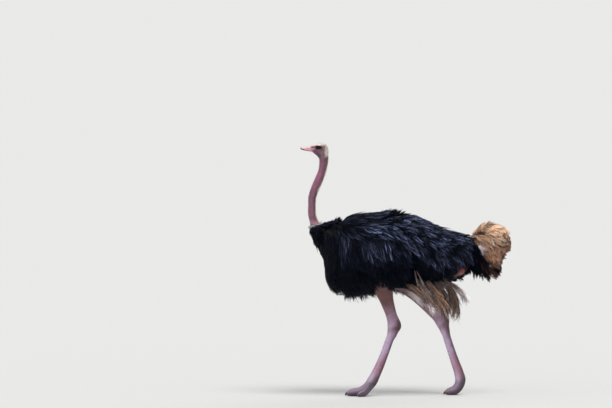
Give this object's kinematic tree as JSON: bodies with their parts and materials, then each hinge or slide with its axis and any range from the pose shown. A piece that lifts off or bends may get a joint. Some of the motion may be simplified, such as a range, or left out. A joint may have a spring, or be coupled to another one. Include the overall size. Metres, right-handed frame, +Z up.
{
  "type": "ostrich",
  "caption": "Life-size still model of a male ostrich in mid stride, with black body feathers, folded wings, plumed tail and long bare neck and legs.",
  "frame": {"origin": "on the floor, under the middle of the bird's overall box", "axes": "+Z up, -X the way the bird walks and its bill points, +Y to the bird's right"},
  "size_m": [1.6438, 0.6082, 1.9798],
  "materials": {
    "black_feathers": "soft loose black plumes",
    "wing_feathers": "black plumes with a faint brown and blue sheen",
    "tail_plumes": "curled buff plumes, dusty",
    "pale_plumes": "white plumes soiled with dust",
    "neck_skin": "bare pink skin under thin pale down",
    "head_skin": "pink skin with short pale bristles",
    "bill_horn": "satin pink horn",
    "eye": "wet, very dark brown",
    "leg_skin": "bare skin, smooth above the hock and scaled below it",
    "foot_skin": "rough scaled skin",
    "claw_horn": "worn dark horn"
  },
  "bodies": {
    "root": {"trunk": "black_feathers", "tail_coverts": "black_feathers", "wing_left": "wing_feathers", "wing_right": "wing_feathers", "tail_plumes": "tail_plumes", "wing_plumes_left": "pale_plumes", "wing_plumes_right": "pale_plumes", "neck_lower": "neck_skin", "neck_middle": "neck_skin", "neck_upper": "neck_skin", "head": "head_skin", "bill_upper": "bill_horn", "bill_lower": "bill_horn", "eye_left": "eye", "eye_right": "eye", "drumstick_left": "leg_skin", "tarsus_left": "leg_skin", "toe_main_left": "foot_skin", "toe_outer_left": "foot_skin", "claw_main_left": "claw_horn", "claw_outer_left": "claw_horn", "drumstick_right": "leg_skin", "tarsus_right": "leg_skin", "toe_main_right": "foot_skin", "toe_outer_right": "foot_skin", "claw_main_right": "claw_horn", "claw_outer_right": "claw_horn"}
  },
  "joints": []
}
